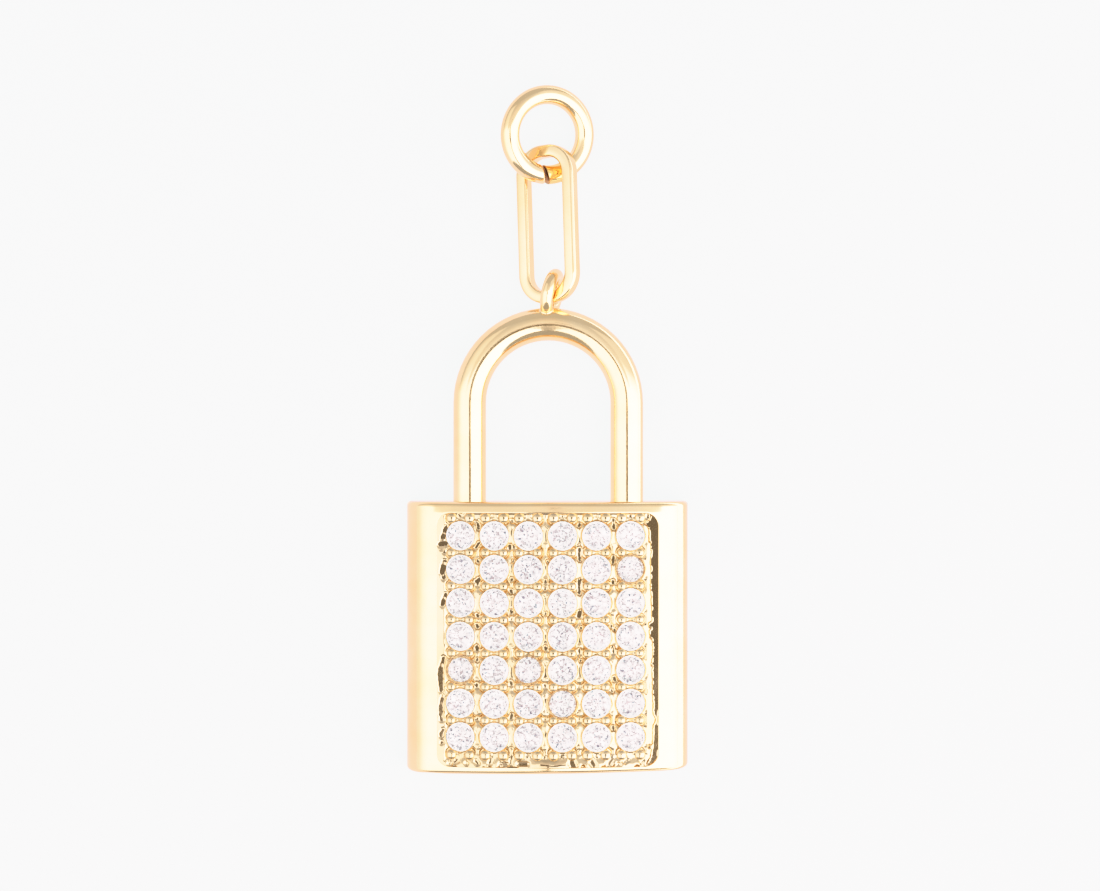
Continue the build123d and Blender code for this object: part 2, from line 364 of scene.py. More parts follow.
def build_body():
    side, corner = 140, 24
    grow = 0.014          # the lip reaches just over the paved plate's edge
    inner = rounded_rect(FIELD_X, FIELD_Y, FIELD_W - 2 * GAP - 2 * grow, FIELD_H - 2 * GAP - 2 * grow, FIELD_CORNER - GAP - grow, side, corner)
    pocket = rounded_rect(FIELD_X, FIELD_Y, FIELD_W, FIELD_H, FIELD_CORNER, side, corner)
    mid_y = (BODY_TOP + BODY_LOW_L) / 2
    outer = rounded_rect(0, mid_y, 2 * HALF_W, BODY_TOP - BODY_LOW_L, 0.26, side, corner)
    low = np.clip((mid_y - outer[:, 1]) / (mid_y - BODY_LOW_L), 0, 1)        # 0 from the middle up, 1 at the lower edge
    outer[:, 1] += low * (body_low(outer[:, 0]) - BODY_LOW_L)
    # the casting's lower edge isn't dead straight, and its left end keeps a tiny foot
    outer[:, 1] += low * (0.012 * (1 + swell(outer[:, 0] * 0.35 + 9, 3.0))
                          + 0.05 * step(-8.6, -8.0, outer[:, 0]) * step(-6.6, -7.6, outer[:, 0]))
    n = len(inner)
    loops = []

    def add(xy, z):
        loops.append(np.column_stack([xy, z]))

    lip_z = body_front(pocket[:, 0], pocket[:, 1])
    add(inner * 0.98 + np.array([FIELD_X, FIELD_Y]) * 0.02, np.full(n, FLOOR_Z - 0.001))
    add(pocket, np.full(n, FLOOR_Z - 0.001))
    add(pocket, lip_z - 0.45)
    add(pocket, lip_z - 0.10)
    add(inner, lip_z - 0.085)
    add(inner, lip_z - 0.014)
    add(inner + (pocket - inner) * 0.3, lip_z - 0.005)
    add(pocket, lip_z)
    rings = 26
    for k in range(1, rings + 1):
        t = sin(pi / 2 * k / rings)
        xy = pocket + (outer - pocket) * t
        add(xy, body_front(xy[:, 0], xy[:, 1]))
    top_z = loops[-1][:, 2].copy()
    end = np.abs(outer[:, 0]) < HALF_W - 0.34
    to_end = np.minimum(BODY_TOP - outer[:, 1], outer[:, 1] - body_low(outer[:, 0]))
    # the back's rounding narrows towards the corners, to stay inside their radius
    back = np.where(end, END_R + (0.245 - END_R) * step(HALF_W - 1.4, HALF_W - 0.34, np.abs(outer[:, 0])),
                    0.245 + (BACK_R - 0.245) * step(0.3, 1.8, to_end))
    for k in range(1, 9):
        t = k / 8
        add(outer, top_z + (back - top_z) * (t * (1.6 - 0.6 * t)))
    seg = np.roll(outer, -1, 0) - np.roll(outer, 1, 0)
    normal = np.column_stack([seg[:, 1], -seg[:, 0]])
    normal /= np.maximum(np.linalg.norm(normal, axis=1), 1e-9)[:, None]
    for k in range(1, 8):
        a = pi / 2 * k / 7
        xy = outer - normal * (back * (1 - cos(a)))[:, None]
        add(xy, back * (1 - sin(a)))
    verts = np.concatenate(loops)
    faces = []
    for li in range(len(loops) - 1):
        o = li * n
        for i in range(n):
            j = (i + 1) % n
            faces.append((o + i, o + n + i, o + n + j, o + j))
    verts = verts.tolist() + [[FIELD_X, FIELD_Y, FLOOR_Z - 0.001], [0, mid_y, 0.0]]
    hub, last = len(verts) - 2, (len(loops) - 1) * n
    for i in range(n):
        j = (i + 1) % n
        faces.append((hub, i, j))
        faces.append((last + i, hub + 1, last + j))
    ob = add_mesh("padlock_casting", [[v * MM for v in p] for p in verts], faces)
    bm = bmesh.new()
    bm.from_mesh(ob.data)
    bmesh.ops.remove_doubles(bm, verts=bm.verts[:], dist=2e-7)
    bmesh.ops.dissolve_degenerate(bm, edges=bm.edges[:], dist=2e-7)
    bmesh.ops.recalc_face_normals(bm, faces=bm.faces[:])
    bm.to_mesh(ob.data)
    bm.free()
    # the two drilled seats for the shackle's legs
    for k, sx in enumerate((-1, 1)):
        me = bpy.data.meshes.new("drill")
        bm = bmesh.new()
        bmesh.ops.create_cone(bm, cap_ends=True, segments=72, radius1=1.12 * MM, radius2=1.12 * MM, depth=4.6 * MM)
        bmesh.ops.transform(bm, verts=bm.verts[:], matrix=Matrix.Translation(
            ((0.059 + sx * 5.245) * MM, BODY_TOP * MM, 1.90 * MM)) @ Matrix.Rotation(pi / 2, 4, "X"))
        bm.to_mesh(me)
        bm.free()
        drill = bpy.data.objects.new("drill", me)
        bpy.context.scene.collection.objects.link(drill)
        mod = ob.modifiers.new("seat", "BOOLEAN")
        mod.operation, mod.solver, mod.object = "DIFFERENCE", "EXACT", drill
        bpy.context.view_layer.update()
        done = bpy.data.meshes.new_from_object(ob.evaluated_get(bpy.context.evaluated_depsgraph_get()))
        ob.modifiers.clear()
        ob.data = done
        bpy.data.objects.remove(drill)
        bpy.data.meshes.remove(me)
    ob.data.name = "padlock_casting"
    ob.data.polygons.foreach_set("use_smooth", [True] * len(ob.data.polygons))
    ob.data.set_sharp_from_angle(angle=radians(55))
    return ob


# ---------------------------------------------------------------- the paved front: bright-cut metal
# Level-bottomed nicks, in picture pixels: x0, y0, x1, y1, radius.
NICKS = [
    # left ledge
    (445.8, 527.2, 443.2, 536, 1.5), (443.2, 536, 443, 541, 1.8), (440.5, 544, 445.3, 543.5, 2.2), (442, 546, 442, 548, 1.4),
    (444.5, 548.5, 444.3, 552.5, 1.0), (444.6, 561.3, 443.4, 566.5, 1.8), (443.2, 566.5, 442.3, 572, 2.1),
    (442.3, 572, 443.9, 578, 1.5), (445.4, 594.5, 443.2, 600.5, 1.4), (443.2, 600.5, 442.6, 605, 1.5),
    (443.5, 658, 440.7, 668, 1.4), (440.5, 668, 440.2, 680, 2.0), (440.2, 680, 441.5, 690, 1.8), (441.5, 690, 443.2, 694.5, 1.4),
    (442.2, 698.5, 440.8, 706, 1.4), (440.8, 706, 441, 714, 1.6), (441, 714, 441.8, 720, 1.3),
    (443, 730, 441, 733, 1.4), (441, 733, 441.5, 735.5, 1.3), (442, 742, 442, 742.5, 1.2),
    # bottom ledge
    (459.2, 755.8, 458.2, 757.8, 1.3), (457.1, 760.9, 454.8, 762.1, 1.5), (449.4, 763.5, 450.4, 763.3, 1.3),
    (451, 768, 456.1, 768.6, 0.9), (462.4, 769.2, 463.4, 769.2, 0.9), (466.6, 763.2, 466.6, 763.6, 1.0),
    (475.6, 760.6, 477.5, 763.5, 1.3), (492.5, 757.1, 490.2, 763.2, 1.3), (490.4, 762, 490.0, 763.6, 1.7),
    (489.0, 768.5, 490, 768.5, 0.9), (484, 769.4, 486, 769.6, 0.8), (498.9, 768.6, 503, 768.9, 0.9),
    (500, 764.2, 507, 764.4, 1.0), (511.5, 757, 510.8, 763.5, 1.4), (518, 764, 528, 764.3, 1.0), (509, 768.8, 516, 769, 0.8),
    (545, 753, 544.6, 758, 1.4), (572, 762.5, 573.5, 767, 2.9), (592, 762, 594, 765.5, 2.3), (583, 767.4, 584, 767.6, 1.0),
    (611.5, 760.5, 609.5, 763, 1.9), (608.5, 764, 607.5, 767.2, 1.4), (607, 768, 603, 768.4, 0.8), (614.7, 767, 615, 767, 1.3),
    (618.8, 764.5, 619, 764.5, 1.1), (624.2, 761.9, 628.1, 759.7, 1.0), (636.7, 767, 637.2, 767, 1.1),
    (642.1, 762.2, 647.2, 757.1, 1.2), (649.7, 746.9, 649.9, 746.9, 1.2), (643.4, 765.7, 646, 764.8, 0.8),
    # top ledge
    (459, 514.5, 460.8, 516, 1.1), (460.8, 516, 464.2, 513.4, 1.0), (492.8, 515.7, 493, 516.2, 1.0), (527.5, 516.3, 527.7, 516.7, 1.0),
    (629.6, 515.7, 629.8, 516.3, 1.1), (562.3, 516.2, 562.6, 516.6, 0.8), (596.2, 516, 596.4, 516.4, 0.8), (647.4, 517.2, 647.8, 515, 1.3),
    # between the columns
    (476.9, 522.6, 478.7, 526, 1.2), (478.7, 526, 478, 529, 1.1), (478.6, 543.5, 476, 547.6, 1.3), (477.8, 561, 477.9, 562.2, 1.2),
    (478.6, 579.3, 476.4, 581.5, 1.7), (477.2, 581.5, 477.5, 585, 1.3), (477.2, 614.5, 477.6, 616.5, 1.3), (477, 625, 477.4, 627.5, 1.5),
    (476.8, 646.5, 477.2, 650, 1.6), (477.4, 659.5, 477.6, 661, 1.2), (477.2, 684, 477, 687, 1.3), (477.6, 718, 477.4, 720, 1.0),
    (511.9, 520.5, 511.9, 521.5, 1.2), (510, 545.5, 510, 549, 1.3), (513.8, 546.8, 513.8, 548.2, 0.9), (513, 561, 513, 562, 0.9),
    (511.5, 579, 511.6, 580.4, 1.2), (510.7, 590.5, 511.2, 592.4, 1.6), (513.8, 592.2, 514.4, 593, 1.0),
    (511, 611, 511.3, 613, 1.3), (511.8, 618.5, 511.6, 620, 1.1), (511.2, 682, 511.4, 685, 1.5), (511.6, 715, 511.2, 718, 1.5),
    (511.2, 749, 511.6, 754, 1.5), (545.5, 581, 545.6, 583, 1.3), (544.8, 588.8, 544.9, 590, 1.0), (547.6, 561.2, 547.8, 562, 0.9),
    (545.3, 647, 545.6, 650, 1.4), (545.0, 685, 545.4, 687.5, 1.3), (545.6, 613, 545.6, 614.4, 0.9), (545.2, 718.5, 545.2, 720, 1.0),
    (579.4, 524, 579.2, 526.4, 1.2), (579.6, 548.5, 579.2, 555, 1.5), (579.2, 556, 579.8, 560.5, 1.2), (579.5, 580.5, 579.0, 587, 1.6),
    (579.2, 588, 579.6, 594, 1.2), (579.8, 612.5, 579.0, 616.2, 2.1), (581, 628, 581, 628.8, 1.1), (579.4, 650.2, 579.4, 654, 1.3),
    (580.6, 660.2, 580.5, 661.4, 1.1), (579, 686.4, 579, 687.6, 1.0), (579.3, 719, 579.2, 721, 1.1), (579.4, 751.5, 579.2, 754, 1.1),
    (613.4, 519.5, 613.2, 521, 1.2), (613.9, 525, 613.7, 528.5, 1.3), (613.4, 557, 613.5, 559.2, 1.2), (613, 562, 613.1, 563, 1.0),
    (613.2, 581, 613, 583.4, 1.4), (611.6, 625.4, 611.8, 627, 1.2), (614.6, 629.2, 614.7, 630.2, 1.0), (612.7, 648, 612.9, 650, 1.5),
    (613.5, 651.4, 613.5, 653.2, 1.1), (614.2, 677.6, 615.2, 681, 1.3), (611.9, 690.4, 612, 691.8, 1.1), (613.4, 727, 613.4, 729.5, 1.2),
]
# The long level ledge along the right border: height in the picture, inner and outer edge.
LEDGE = np.array([
    (510.5, 651, 652), (513, 652.3, 654.6), (516, 652.5, 656.4), (519.5, 651, 658.2), (524.3, 646.4, 659.4), (527, 649, 660),
    (529.7, 650.4, 660.4), (540, 651.4, 660.5), (553, 652.8, 660.5), (562, 651.9, 660.5), (570, 652.6, 660.5), (585, 652.2, 660.4),
    (600, 652.7, 660.2), (608, 653.4, 660), (621, 653.4, 659.8), (623.5, 650, 659.6), (627, 650.4, 659.6), (628.8, 652.8, 659.4),
    (630.8, 650.6, 659.3), (634, 650.6, 659.2), (637, 651.3, 659), (640, 653.8, 658.9), (657, 654.2, 658.4), (661, 653.6, 658.4),
    (663.5, 652.2, 658.4), (666, 653.4, 658.4), (676, 654, 658.3), (692, 654, 658.1), (705, 654.5, 658), (715, 654.6, 657.8),
    (718.5, 656.6, 657.2), (721.5, 656.6, 657.2), (725, 654.6, 658), (740, 654.2, 658), (748, 654, 658), (752, 652.8, 657.8),
    (758, 651.4, 657.4), (763, 648.4, 656.2), (765.5, 648.6, 654.6)])
ragged, ragged2, lumpy = Ripple(11), Ripple(12), Ripple(13)


def pave_height(x, y):
    base = front_z(x, PLATE_DROP)
    ci = np.clip(np.round((x - X0) / PX), 0, COLS - 1)
    ri = np.clip(np.round((y - Y0) / PY), 0, ROWS - 1)
    u, v = x - (X0 + ci * PX), y - (Y0 + ri * PY)
    r = np.hypot(u, v)
    bu, bv = np.abs(np.abs(u) - PX / 2), np.abs(np.abs(v) - PY / 2)
    inside = (np.abs(u) <= PX / 2 + 1e-6) & (np.abs(v) <= PY / 2 + 1e-6)
    # metal between the collars: a shallow joint beside a stone, a deep well where four stones meet
    q = np.abs(v) / (PY / 2)
    well = np.where((ci + np.sign(u) < 0) | (ci + np.sign(u) > COLS - 1), 0.10, 0.20)
    deep = 0.055 + (well - 0.055) * step(0.45, 0.85, q) * step(0.30, 0.60, np.abs(u)) + 0.02 * ragged2(x * 1.3, y * 2.2)
    deep = np.where(inside, deep, 0.07 + 0.03 * ragged2(x * 2.3, y * 2.1))
    collar = 1 - step(STONE_R + 0.035, STONE_R + 0.125, r + 0.012 * ragged(x * 4.0, y * 4.0))
    h = 0.02 * np.exp(-((r - STONE_R - 0.022) / 0.03) ** 2) - deep * (1 - collar)
    # a roof-shaped crest runs down the middle of the wells, and the open metal is never quite level
    xb = np.abs(np.abs(u) - PX / 2 - 0.035 * ragged(ci * 7.3 + 3.1, y * 2.6))
    roofed = np.maximum(0.34 - np.sqrt(np.square(xb) + 0.0004), 0)
    h = h + (0.32 + 0.07 * ragged(ci * 3.3 + 20, y * 2.0 + 5)) * roofed * step(0.35, 0.7, q) * (1 - collar) * inside
    fold = 2 / pi * np.arcsin(0.97 * np.sin(2 * pi * (x * 1.75 + 0.55 * ragged(x * 0.8 + 4, y * 1.3))))
    h = h + 0.012 * fold * (1 - collar)
    h = h - 0.03 * np.exp(-(bv / 0.05) ** 2) * (1 - step(0.12, 0.20, np.abs(u)))
    h = h + (0.05 + deep * (1 - collar)) * np.exp(-(np.square(np.abs(u) - 0.265) + np.square(bv)) / 0.075 ** 2)
    # a shallow moat makes each bead stand out
    bead = np.hypot(np.abs(u) - 0.60, bv)
    h = h - 0.05 * np.exp(-((bead - 0.36) / 0.05) ** 2) * step(STONE_R - 0.01, STONE_R + 0.04, r)
    # flush with the casting's lip
    bw, bh = FIELD_W / 2 - GAP, FIELD_H / 2 - GAP
    ox, oy = np.abs(x - FIELD_X) - bw + FIELD_CORNER, np.abs(y - FIELD_Y) - bh + FIELD_CORNER
    lip = FIELD_CORNER - np.where((ox > 0) & (oy > 0), np.hypot(ox, oy), np.maximum(ox, oy))
    flush = np.maximum(step(0.17, 0.0, lip) * (1 - 0.5 * step(6.6, 7.0, x)), step(0.74, 0.44, x - FIELD_X + bw))
    flush = np.maximum(flush, step(0.72, 0.14, y - FIELD_Y + bh + 0.05 * ragged(x * 2.1, 5.0)) * (1 - step(6.2, 6.7, x)))
    h = h + 0.008 * lumpy(x * 4.0, y * 4.0) * (1 - flush)
    z = (base + h) * (1 - flush) + (body_front(x, y) - 0.012) * flush
    # nicks
    px, py = picture_xy(x, y, base)
    wob = 0.35 * ragged(x * 6.0 + 1.7, y * 6.0) + 0.25 * ragged2(x * 14.0, y * 14.0 + 2.2)
    level = base - 0.15 - 0.0
    for x0, y0, x1, y1, rad in NICKS:
        ledge = x0 < 447 and y0 < 745
        dx, dy = x1 - x0, y1 - y0
        t = np.clip(((px - x0) * dx + (py - y0) * dy) / max(dx * dx + dy * dy, 1e-9), 0, 1)
        dist = np.hypot(px - x0 - t * dx, py - y0 - t * dy)
        soft_edge = 0.45 if ledge else 0.35
        m = step(-soft_edge, soft_edge, rad + wob + (1.5 if ledge else 0.8 if y0 < 518 else 1.2) - dist)
        if ledge:             # a level cut into the falling edge: nothing at its outer side, a wall at its inner side
            wx = (min(x0, x1) - rad - 1.5 - 550) / 15.2 + 0.176
            floor_z = front_z(wx) - 0.06 + 0.0022 * (np.square(x) - wx * wx)
        else:
            wx = ((x0 + x1) / 2 - 550) / 15.2 + 0.176
            floor_z = front_z(wx, PLATE_DROP) - (0.24 if y1 < 752 and y0 > 518 else 0.11) + 0.0022 * (np.square(x) - wx * wx)
        z = np.where(m > 0, np.minimum(z, z * (1 - m) + floor_z * m), z)
    inner = np.interp(py, LEDGE[:, 0], LEDGE[:, 1]) + wob * 1.3 - 1.7
    outer = np.interp(py, LEDGE[:, 0], LEDGE[:, 2])
    m = step(-0.4, 0.5, px - inner) * step(-0.3, 0.3, outer - px + 0.9) * step(509.5, 511, py) * step(767.5, 766, py)
    wx = 7.05
    floor_z = front_z(wx, PLATE_DROP) - 0.21 + 0.0022 * (np.square(x) - wx * wx)
    return np.where(m > 0, np.minimum(z, z * (1 - m) + floor_z * m), z)


# Stones that sit deeper in their seats: (row from the top, column)
DEEP = {(1, 5): 0.10, (4, 0): 0.13, (4, 2): 0.10, (5, 3): 0.08, (3, 1): 0.04, (3, 4): 0.03, (4, 3): 0.03}
SMALL = 0.07        # how far a deep stone's seat wall leans in, mm


def build_pave_metal():
    side, rings, seat_r = 32, 11, STONE_R + 0.013
    # one cell's outline, anticlockwise from its lower left corner
    hx, hy = PX / 2, PY / 2
    ts = np.arange(side) / side
    edge = np.concatenate([
        np.stack([-hx + 2 * hx * ts, np.full(side, -hy)], 1), np.stack([np.full(side, hx), -hy + 2 * hy * ts], 1),
        np.stack([hx - 2 * hx * ts, np.full(side, hy)], 1), np.stack([np.full(side, -hx), hy - 2 * hy * ts], 1)])
    n = len(edge)
    ang = np.arctan2(edge[:, 1], edge[:, 0])
    rim = np.stack([np.cos(ang), np.sin(ang)], 1)
    taus = (np.arange(1, rings + 1) / rings) ** 1.25
    xy, z_fixed, faces, key = [], [], [], {}

    def put(x, y, z=None):
        if z is None:
            k = (round(x, 4), round(y, 4))
            if k in key:
                return key[k]
            key[k] = len(xy)
        xy.append((x, y))
        z_fixed.append(z)
        return len(xy) - 1

    for c in range(COLS):
        for r in range(ROWS):
            cx, cy = X0 + c * PX, Y0 + r * PY
            top = float(front_z(cx, PLATE_DROP))
            tilt = -cx / FRONT_R                      # the seat follows the curve of the front
            loops = []
            centre = put(cx, cy, top - 0.62)
            lean = SMALL if DEEP.get((ROWS - 1 - r, c), 0) > 0.05 else 0.0
            for rad, drop in ((0.42, 0.55), (STONE_R - 0.07 - lean, 0.26), (STONE_R + 0.002 - lean, 0.14 + 0.5 * lean), (STONE_R + 0.006, 0.035)):
                loops.append([put(cx + rad * a, cy + rad * b, top - drop + tilt * rad * a) for a, b in rim])
            loops.append([put(cx + seat_r * a, cy + seat_r * b, None) for a, b in rim])
            for t in taus:
                loops.append([put(cx + seat_r * a + (ex - seat_r * a) * t, cy + seat_r * b + (ey - seat_r * b) * t)
                              for (a, b), (ex, ey) in zip(rim, edge)])
            for i in range(n):
                faces.append((centre, loops[0][i], loops[0][(i + 1) % n]))
            for la, lb in zip(loops, loops[1:]):
                for i in range(n):
                    j = (i + 1) % n
                    faces.append((la[i], lb[i], lb[j], la[j]))
    # the margin between the outermost cells and the border
    w, h, rr = FIELD_W - 2 * GAP, FIELD_H - 2 * GAP, FIELD_CORNER - GAP
    xl, xr, yb, yt = X0 - hx, X0 + (COLS - 0.5) * PX, Y0 - hy, Y0 + (ROWS - 0.5) * PY
    bl, br, bb, bt = FIELD_X - w / 2, FIELD_X + w / 2, FIELD_Y - h / 2, FIELD_Y + h / 2

    def border_y(x, top):
        over = max(0.0, bl + rr - x, x - (br - rr))
        d = rr - sqrt(max(rr * rr - over * over, 0))
        return bt - d if top else bb + d

    def border_x(y, right):
        over = max(0.0, bb + rr - y, y - (bt - rr))
        d = rr - sqrt(max(rr * rr - over * over, 0))
        return br - d if right else bl + d

    inner, outer = [], []
    for k in range(COLS * side):
        x = xl + PX * k / side
        inner.append((x, yb)), outer.append((x, border_y(x, False)))
    sides = [(inner, outer)]
    loop = []

    def run(points):
        loop.extend(points)

    def arc(cx, cy, p, q, corner):
        a0, a1 = atan2(p[1] - cy, p[0] - cx), atan2(q[1] - cy, q[0] - cx)
        if a1 < a0:
            a1 += 2 * pi
        return [(corner, (cx + rr * cos(a0 + (a1 - a0) * i / 10), cy + rr * sin(a0 + (a1 - a0) * i / 10))) for i in range(11)]

    bottom = [((xl + PX * k / side, yb), (xl + PX * k / side, border_y(xl + PX * k / side, False))) for k in range(1, COLS * side)]
    right = [((xr, yb + PY * k / side), (border_x(yb + PY * k / side, True), yb + PY * k / side)) for k in range(1, ROWS * side)]
    top = [((xr - PX * k / side, yt), (xr - PX * k / side, border_y(xr - PX * k / side, True))) for k in range(1, COLS * side)]
    left = [((xl, yt - PY * k / side), (border_x(yt - PY * k / side, False), yt - PY * k / side)) for k in range(1, ROWS * side)]
    run(bottom)
    run(arc(br - rr, bb + rr, (xr, border_y(xr, False)), (border_x(yb, True), yb), (xr, yb)))
    run(right)
    run(arc(br - rr, bt - rr, (border_x(yt, True), yt), (xr, border_y(xr, True)), (xr, yt)))
    run(top)
    run(arc(bl + rr, bt - rr, (xl, border_y(xl, True)), (border_x(yt, False), yt), (xl, yt)))
    run(left)
    run(arc(bl + rr, bb + rr, (border_x(yb, False), yb), (xl, border_y(xl, False)), (xl, yb)))
    loops = [[put(*p) for p, q in loop]]
    steps = 12
    for k in range(1, steps + 1):
        t = k / steps
        loops.append([put(p[0] + (q[0] - p[0]) * t, p[1] + (q[1] - p[1]) * t) for p, q in loop])
    skirt = [put(q[0], q[1], FLOOR_Z + GAP) for p, q in loop]
    m = len(loop)
    for la, lb in zip(loops, loops[1:] + [skirt]):
        for i in range(m):
            j = (i + 1) % m
            f = [la[i], lb[i], lb[j], la[j]]
            f = [v for k, v in enumerate(f) if v != f[k - 1]]
            if len(f) >= 3:
                faces.append(tuple(f))
    hub = put(FIELD_X, FIELD_Y, FLOOR_Z + GAP)
    for i in range(m):
        if skirt[i] != skirt[(i + 1) % m]:
            faces.append((hub, skirt[(i + 1) % m], skirt[i]))
    xy = np.array(xy)
    z = pave_height(xy[:, 0], xy[:, 1])
    z = np.where([v is None for v in z_fixed], z, [0.0 if v is None else v for v in z_fixed])
    co = np.column_stack([xy, z]) * MM
    ob = add_mesh("pave_metal", co.tolist(), faces)
    bm = bmesh.new()
    bm.from_mesh(ob.data)
    bmesh.ops.recalc_face_normals(bm, faces=bm.faces[:])
    bm.to_mesh(ob.data)
    bm.free()
    ob.data.set_sharp_from_angle(angle=radians(62))
    # painted shade: the seat's edge close round each stone gets a darker, more orange gold, standing in for the shade
    # and warm inter-reflection where the metal meets the stone
    mid = np.empty(len(ob.data.polygons) * 3, dtype=np.float32)
    ob.data.polygons.foreach_get("center", mid)
    mx, my = mid[0::3] / MM, mid[1::3] / MM
    r = np.hypot(mx - X0 - PX * np.clip(np.round((mx - X0) / PX), 0, COLS - 1), my - Y0 - PY * np.clip(np.round((my - Y0) / PY), 0, ROWS - 1))
    return ob, ((r > STONE_R - 0.2) & (r < STONE_R + 0.045)).astype(np.int32)


def build_beads():
    rng = np.random.RandomState(5)
    seg = 20
    verts, faces = [], []
    for c in range(COLS):
        for k in range(ROWS + 1):
            for s in (-1, 1):
                x = X0 + c * PX + s * (0.60 + rng.uniform(-0.015, 0.015))
                y = Y0 + (k - 0.5) * PY + rng.uniform(-0.015, 0.015)
                y += 0.075 if k == ROWS else (-0.075 if k == 0 else 0)
                rad = (0.37 if k in (0, ROWS) else 0.325) + rng.uniform(-0.012, 0.014)
                tall = 0.125 + rng.uniform(-0.015, 0.015)
                flat = 0.05 + rng.uniform(-0.008, 0.014)
                lean = -x / FRONT_R * 0.0 + rng.uniform(-0.02, 0.02)
                z0 = float(front_z(x, PLATE_DROP)) + tall
                prof = [(flat * 0.5, 0.0), (flat, 0.0005)]
                for i in range(1, 9):
                    a = radians(90 * i / 8)
                    prof.append((flat + (rad - flat) * sin(a), -0.27 * (1 - cos(a))))
                prof.append((rad * 0.97, -0.34))
                base = len(verts)
                verts.append((x, y, z0))
                for pr, pz in prof:
                    for j in range(seg):
                        a = 2 * pi * j / seg
                        verts.append((x + pr * cos(a), y + pr * sin(a), z0 + pz + lean * pr * cos(a)))
                verts.append((x, y, z0 - 0.34))
                for j in range(seg):
                    faces.append((base, base + 1 + j, base + 1 + (j + 1) % seg))
                for i in range(len(prof) - 1):
                    o = base + 1 + i * seg
                    for j in range(seg):
                        faces.append((o + j, o + seg + j, o + seg + (j + 1) % seg, o + (j + 1) % seg))
                o = base + 1 + (len(prof) - 1) * seg
                for j in range(seg):
                    faces.append((o + (j + 1) % seg, o + j, o + seg))
    return add_mesh("pave_beads", [[v * MM for v in p] for p in verts], faces)




def build_stones():
    rng = np.random.RandomState(23)
    verts, faces, backs, bright = [], [], [], []
    for c in range(COLS):
        for k in range(ROWS):
            cx, cy = X0 + c * PX, Y0 + (ROWS - 1 - k) * PY
            row = k
            sink = 0.105 + DEEP.get((row, c), 0.0)
            rot = rng.uniform(0, 2 * pi)
            m = (Matrix.Translation((cx, cy, float(front_z(cx, PLATE_DROP)) - sink))
                 @ Matrix.Rotation(asin(cx / FRONT_R) + radians(rng.uniform(-1.2, 1.2)), 4, "Y")
                 @ Matrix.Rotation(radians(rng.uniform(-1.2, 1.2)), 4, "X") @ Matrix.Rotation(rot, 4, "Z"))
            R, h, rt, rs, deep, g = 1.0, 0.288, 0.60, 0.81, 0.36, 0.02
            ring = lambda rad, z, off, n: [(rad * cos(2 * pi * (i + off) / n), rad * sin(2 * pi * (i + off) / n), z) for i in range(n)]
            c8 = cos(pi / 8)
            zs = h * (1 - (rs * c8 - rt) / (1 - rt))
            pts = ring(rt, h, 0, 8) + ring(rs, zs, 0.5, 8) + ring(R, g, 0, 32) + ring(R, -g, 0, 32)
            o = len(verts)
            T, S, U, L = o, o + 8, o + 16, o + 48
            faces.append(tuple(T + i for i in range(8)))
            for i in range(8):
                j = (i + 1) % 8
                faces.append((T + i, S + i, T + j))                                     # star
                faces.append((T + i, S + (i - 1) % 8, U + 4 * i, S + i))                # kite
                faces.append((S + i, U + 4 * i, U + 4 * i + 1, U + 4 * i + 2))          # upper halves
                faces.append((S + i, U + 4 * i + 2, U + 4 * i + 3, U + (4 * i + 4) % 32))
            for i in range(32):
                j = (i + 1) % 32
                faces.append((U + i, L + i, L + j, U + j))
            # the back: many small mirror facets, each at its own angle
            f0, above, n_above = len(faces), [L + i for i in range(32)], 32
            for rad, n in ((0.86, 32), (0.71, 32), (0.56, 16), (0.40, 16), (0.24, 8)):
                first = o + len(pts)
                for i in range(n):
                    a = 2 * pi * (i + rng.uniform(-0.22, 0.22) + (0.5 if n < 32 else 0)) / n
                    rr = rad + rng.uniform(-0.035, 0.035)
                    pts.append((rr * cos(a), rr * sin(a), -g - deep * (1 - rr / R) + rng.uniform(-0.022, 0.022)))
                here = [first + i for i in range(n)]
                k = n_above // n
                for i in range(n):
                    j = (i + 1) % n
                    if k == 1:
                        if (i + n) % 2:
                            faces += [(above[i], here[i], here[j]), (above[i], here[j], above[j])]
                        else:
                            faces += [(above[i], here[i], above[j]), (above[j], here[i], here[j])]
                    else:
                        m0, m1, m2 = above[2 * i], above[2 * i + 1], above[(2 * i + 2) % n_above]
                        faces += [(m0, here[i], m1), (m1, here[i], here[j]), (m1, here[j], m2)]
                above, n_above = here, n
            pts.append((0, 0, -g - deep))
            for i in range(n_above):
                faces.append((above[i], o + len(pts) - 1, above[(i + 1) % n_above]))
            backs += list(range(f0, len(faces)))
            # painted highlight: the outer ring of back facets of the stones that sit high gets the foil with fewer dark
            # specks, the deep stones keep the darker one
            if DEEP.get((row, c), 0) <= 0.05:
                bright += list(range(f0, f0 + 64))
            big = STONE_R - (SMALL if DEEP.get((row, c), 0) > 0.05 else 0)
            verts += [tuple(m @ (Vector(p) * big)) for p in pts]
    ob = add_mesh("pave_stones", [[v * MM for v in p] for p in verts], faces, smooth=False)
    bm = bmesh.new()
    bm.from_mesh(ob.data)
    bmesh.ops.recalc_face_normals(bm, faces=bm.faces[:])
    bm.to_mesh(ob.data)
    bm.free()
    idx = np.zeros(len(ob.data.polygons), dtype=np.int32)
    idx[backs] = 1
    idx[bright] = 2
    return ob, idx


# ---------------------------------------------------------------- oval link and open jump ring
def turned(at, roll, pitch, lean):
    return (Matrix.Translation(at) @ Matrix.Rotation(radians(lean), 4, "Z") @ Matrix.Rotation(radians(pitch), 4, "X")
            @ Matrix.Rotation(radians(roll), 4, "Y"))


